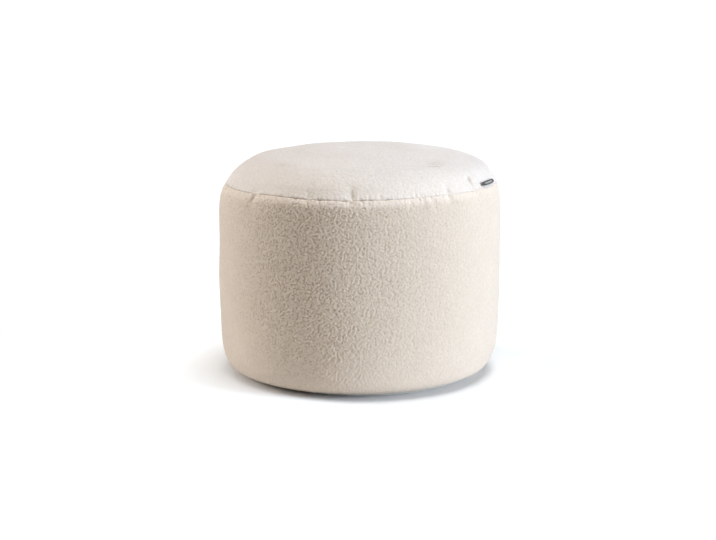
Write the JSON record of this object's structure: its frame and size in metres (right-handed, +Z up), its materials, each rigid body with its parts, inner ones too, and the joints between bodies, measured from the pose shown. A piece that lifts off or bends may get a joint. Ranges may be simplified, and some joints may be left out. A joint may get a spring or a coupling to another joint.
{
  "type": "boucle pouf",
  "caption": "Round filled pouf in looped boucle cloth: tall side panel that rounds under at the foot, crowned top panel with a plain puckered seam, flat base and a small dark woven label above the seam.",
  "frame": {"origin": "centre of the base, on the floor", "axes": "+Z up, -Y towards the front, +X to the right"},
  "size_m": [0.5, 0.4998, 0.4001],
  "materials": {
    "side_boucle": "short curly looped pile, cream",
    "top_boucle": "short curly looped pile, cream",
    "base_cloth": "plain flat weave, cream",
    "label_cloth": "fine ribbed woven tape, charcoal"
  },
  "bodies": {
    "root": {"side_panel": "side_boucle", "top_panel": "top_boucle", "base_panel": "base_cloth", "label": "label_cloth"}
  },
  "joints": []
}
